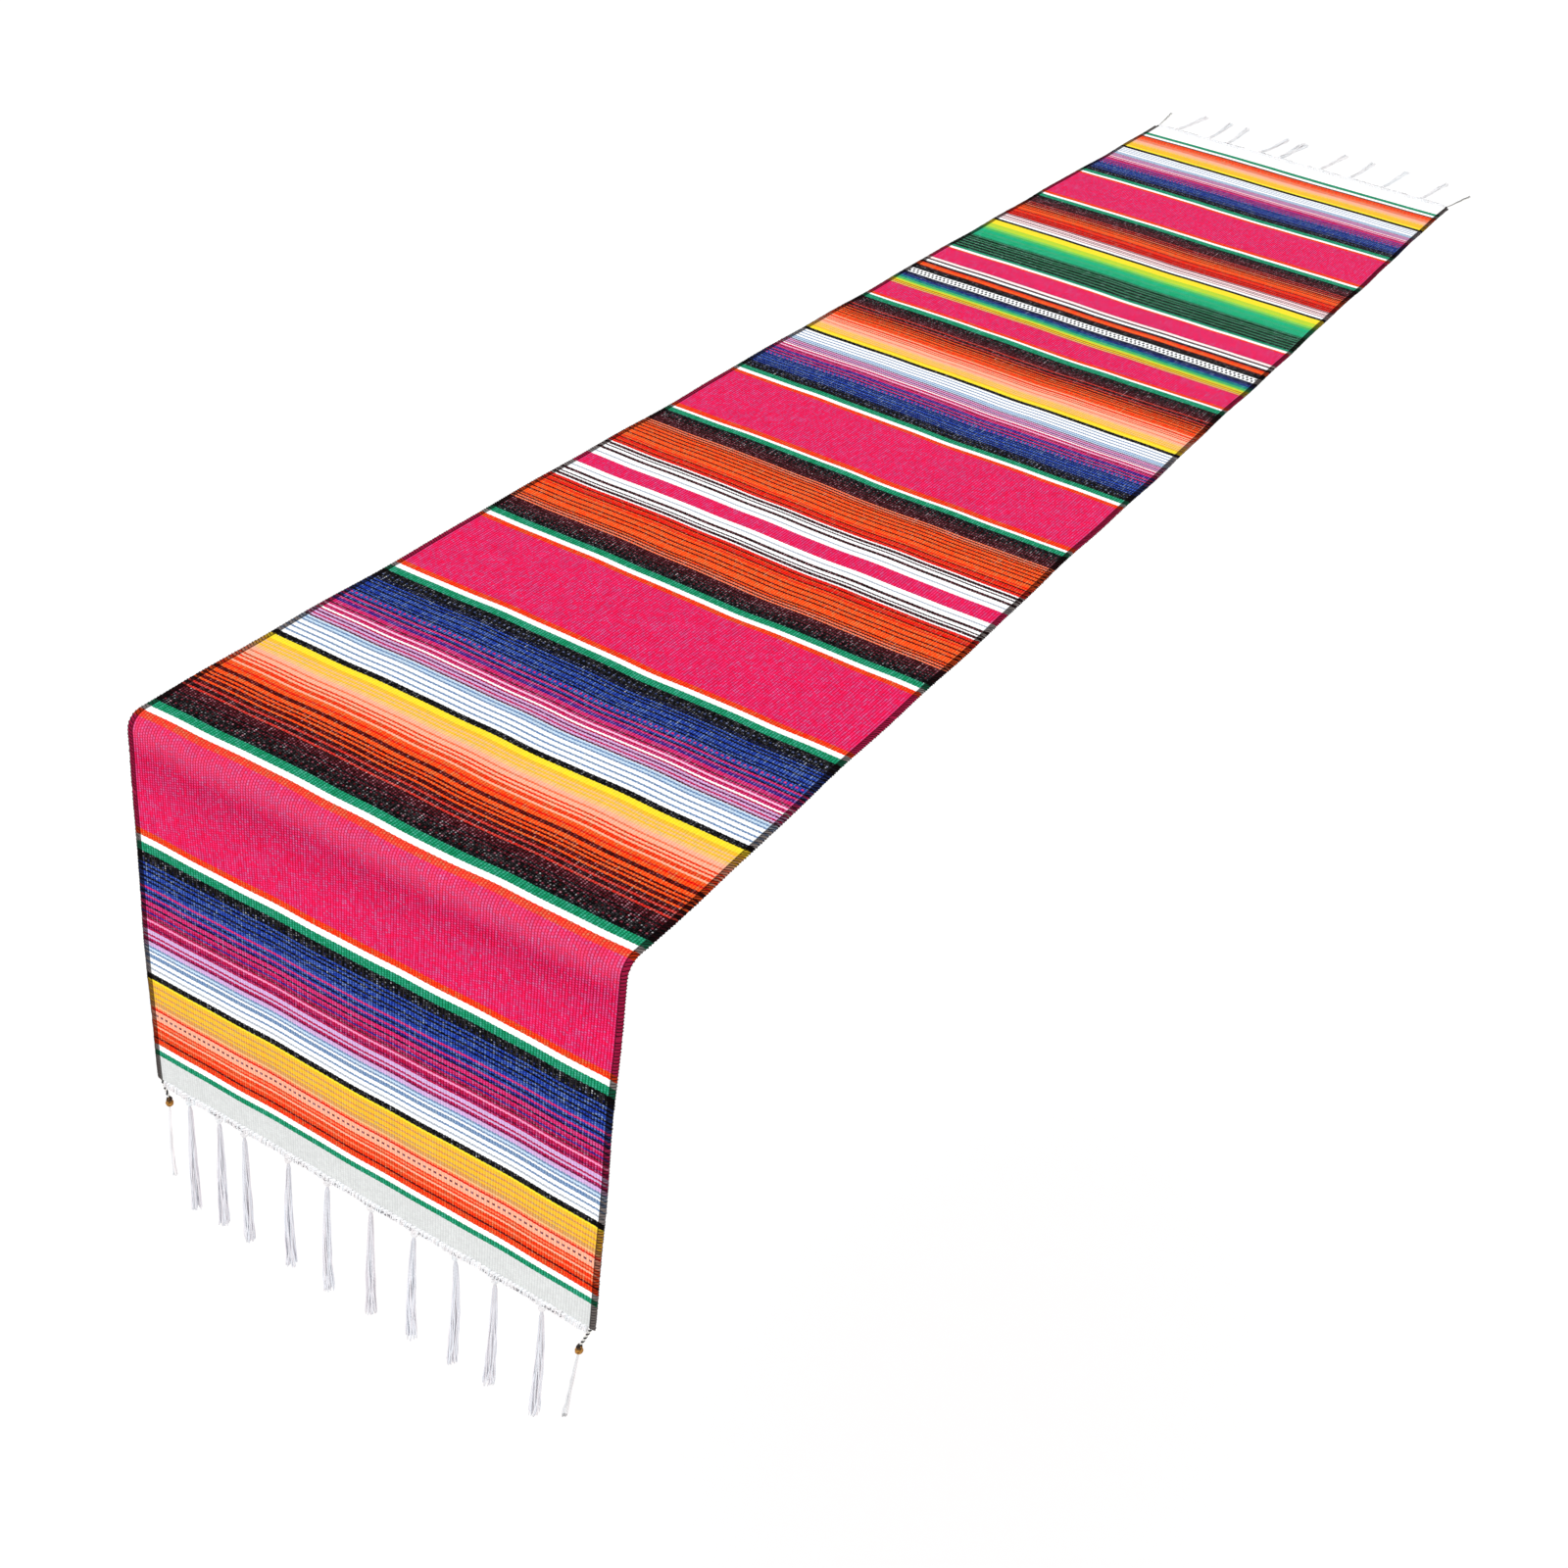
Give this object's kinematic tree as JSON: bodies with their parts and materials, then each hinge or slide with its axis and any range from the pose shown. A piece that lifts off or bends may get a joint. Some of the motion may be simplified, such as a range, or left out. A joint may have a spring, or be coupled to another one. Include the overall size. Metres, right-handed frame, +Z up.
{
  "type": "table runner",
  "caption": "Striped woven table runner, draped over the front edge of a table, with bound sides and a tasselled fringe at both ends.",
  "frame": {"origin": "centre of the face that rests on the table top", "axes": "+Z up out of the table top, +Y along the runner from the hanging end to the flat far end, +X across the runner to the right of someone facing the hanging end"},
  "size_m": [0.3694, 1.7133, 0.4096],
  "materials": {
    "woven_cloth": "weft-faced striped weave",
    "overlock_thread": "overlocked thread",
    "white_yarn": "soft spun yarn",
    "dark_thread": "two-ply twisted thread",
    "brown_thread": "knotted thread"
  },
  "bodies": {
    "top_run": {"cloth_top": "woven_cloth", "overlock_top_left": "overlock_thread", "overlock_top_right": "overlock_thread", "cloth_fold": "woven_cloth", "overlock_fold_left": "overlock_thread", "overlock_fold_right": "overlock_thread"},
    "drop": {"cloth_drop": "woven_cloth", "overlock_drop_left": "overlock_thread", "overlock_drop_right": "overlock_thread", "twined_cord_near": "white_yarn", "tassel_knots_near": "white_yarn", "corner_thread_left": "dark_thread", "corner_thread_right": "dark_thread", "corner_knot_left": "brown_thread", "corner_knot_right": "brown_thread"},
    "far_end": {"cloth_far_end": "woven_cloth", "overlock_far_left": "overlock_thread", "overlock_far_right": "overlock_thread", "twined_cord_far": "white_yarn", "tassel_knots_far": "white_yarn"},
    "near_tassel_1": {"near_tassel_1": "white_yarn"},
    "near_tassel_2": {"near_tassel_2": "white_yarn"},
    "near_tassel_3": {"near_tassel_3": "white_yarn"},
    "near_tassel_4": {"near_tassel_4": "white_yarn"},
    "near_tassel_5": {"near_tassel_5": "white_yarn"},
    "near_tassel_6": {"near_tassel_6": "white_yarn"},
    "near_tassel_7": {"near_tassel_7": "white_yarn"},
    "near_tassel_8": {"near_tassel_8": "white_yarn"},
    "near_tassel_9": {"near_tassel_9": "white_yarn"},
    "near_tassel_10": {"near_tassel_10": "white_yarn"},
    "near_wisp_left": {"near_wisp_left": "white_yarn"},
    "near_wisp_right": {"near_wisp_right": "white_yarn"},
    "far_tassel_1": {"far_tassel_1": "white_yarn"},
    "far_tassel_2": {"far_tassel_2": "white_yarn"},
    "far_tassel_3": {"far_tassel_3": "white_yarn"},
    "far_tassel_4": {"far_tassel_4": "white_yarn"},
    "far_tassel_5": {"far_tassel_5": "white_yarn"},
    "far_tassel_6": {"far_tassel_6": "white_yarn"},
    "far_tassel_7": {"far_tassel_7": "white_yarn"},
    "far_tassel_8": {"far_tassel_8": "white_yarn"},
    "far_tassel_9": {"far_tassel_9": "white_yarn"},
    "far_wisp_left": {"far_wisp_left": "dark_thread"},
    "far_wisp_right": {"far_wisp_right": "dark_thread"}
  },
  "joints": [
    {"name": "drop_fold", "type": "hinge", "parent": "top_run", "child": "drop", "pos_m": [0, -0.81285, -0.00145], "axis": [-1, 0, 0], "range_deg": [0, 90], "deforming": ["cloth_fold", "overlock_fold_left", "overlock_fold_right"]},
    {"name": "far_end_lift", "type": "hinge", "parent": "top_run", "child": "far_end", "pos_m": [0, 0.505, 0.0019], "axis": [1, 0, 0], "range_deg": [0, 90]},
    {"name": "near_tassel_1_swing", "type": "hinge", "parent": "drop", "child": "near_tassel_1", "pos_m": [-0.152, -0.815, -0.3002], "axis": [-1, 0, 0], "range_deg": [-50, 80]},
    {"name": "near_tassel_2_swing", "type": "hinge", "parent": "drop", "child": "near_tassel_2", "pos_m": [-0.126, -0.815, -0.3002], "axis": [-1, 0, 0], "range_deg": [-50, 80]},
    {"name": "near_tassel_3_swing", "type": "hinge", "parent": "drop", "child": "near_tassel_3", "pos_m": [-0.104, -0.815, -0.3002], "axis": [-1, 0, 0], "range_deg": [-50, 80]},
    {"name": "near_tassel_4_swing", "type": "hinge", "parent": "drop", "child": "near_tassel_4", "pos_m": [-0.066, -0.815, -0.3002], "axis": [-1, 0, 0], "range_deg": [-50, 80]},
    {"name": "near_tassel_5_swing", "type": "hinge", "parent": "drop", "child": "near_tassel_5", "pos_m": [-0.033, -0.815, -0.3002], "axis": [-1, 0, 0], "range_deg": [-50, 80]},
    {"name": "near_tassel_6_swing", "type": "hinge", "parent": "drop", "child": "near_tassel_6", "pos_m": [0.003, -0.815, -0.3002], "axis": [-1, 0, 0], "range_deg": [-50, 80]},
    {"name": "near_tassel_7_swing", "type": "hinge", "parent": "drop", "child": "near_tassel_7", "pos_m": [0.038, -0.815, -0.3002], "axis": [-1, 0, 0], "range_deg": [-50, 80]},
    {"name": "near_tassel_8_swing", "type": "hinge", "parent": "drop", "child": "near_tassel_8", "pos_m": [0.071, -0.815, -0.3002], "axis": [-1, 0, 0], "range_deg": [-50, 80]},
    {"name": "near_tassel_9_swing", "type": "hinge", "parent": "drop", "child": "near_tassel_9", "pos_m": [0.102, -0.815, -0.3002], "axis": [-1, 0, 0], "range_deg": [-50, 80]},
    {"name": "near_tassel_10_swing", "type": "hinge", "parent": "drop", "child": "near_tassel_10", "pos_m": [0.138, -0.815, -0.3002], "axis": [-1, 0, 0], "range_deg": [-50, 80]},
    {"name": "near_wisp_left_swing", "type": "hinge", "parent": "drop", "child": "near_wisp_left", "pos_m": [-0.171, -0.815, -0.3123], "axis": [-1, 0, 0], "range_deg": [-50, 80]},
    {"name": "near_wisp_right_swing", "type": "hinge", "parent": "drop", "child": "near_wisp_right", "pos_m": [0.167, -0.815, -0.3193], "axis": [-1, 0, 0], "range_deg": [-50, 80]},
    {"name": "far_tassel_1_swing", "type": "hinge", "parent": "far_end", "child": "far_tassel_1", "pos_m": [-0.152, 0.8107, 0.0027], "axis": [1, 0, 0], "range_deg": [0, 90]},
    {"name": "far_tassel_2_swing", "type": "hinge", "parent": "far_end", "child": "far_tassel_2", "pos_m": [-0.112, 0.8107, 0.0027], "axis": [1, 0, 0], "range_deg": [0, 90]},
    {"name": "far_tassel_3_swing", "type": "hinge", "parent": "far_end", "child": "far_tassel_3", "pos_m": [-0.089, 0.8107, 0.0027], "axis": [1, 0, 0], "range_deg": [0, 90]},
    {"name": "far_tassel_4_swing", "type": "hinge", "parent": "far_end", "child": "far_tassel_4", "pos_m": [-0.049, 0.8107, 0.0027], "axis": [1, 0, 0], "range_deg": [0, 90]},
    {"name": "far_tassel_5_swing", "type": "hinge", "parent": "far_end", "child": "far_tassel_5", "pos_m": [-0.025, 0.8107, 0.0027], "axis": [1, 0, 0], "range_deg": [0, 90]},
    {"name": "far_tassel_6_swing", "type": "hinge", "parent": "far_end", "child": "far_tassel_6", "pos_m": [0.024, 0.8107, 0.0027], "axis": [1, 0, 0], "range_deg": [0, 90]},
    {"name": "far_tassel_7_swing", "type": "hinge", "parent": "far_end", "child": "far_tassel_7", "pos_m": [0.06, 0.8107, 0.0027], "axis": [1, 0, 0], "range_deg": [0, 90]},
    {"name": "far_tassel_8_swing", "type": "hinge", "parent": "far_end", "child": "far_tassel_8", "pos_m": [0.099, 0.8107, 0.0027], "axis": [1, 0, 0], "range_deg": [0, 90]},
    {"name": "far_tassel_9_swing", "type": "hinge", "parent": "far_end", "child": "far_tassel_9", "pos_m": [0.145, 0.8107, 0.0027], "axis": [1, 0, 0], "range_deg": [0, 90]},
    {"name": "far_wisp_left_swing", "type": "hinge", "parent": "far_end", "child": "far_wisp_left", "pos_m": [-0.175, 0.8066, 0.0016], "axis": [1, 0, 0], "range_deg": [0, 90]},
    {"name": "far_wisp_right_swing", "type": "hinge", "parent": "far_end", "child": "far_wisp_right", "pos_m": [0.175, 0.8066, 0.0016], "axis": [1, 0, 0], "range_deg": [0, 90]}
  ]
}
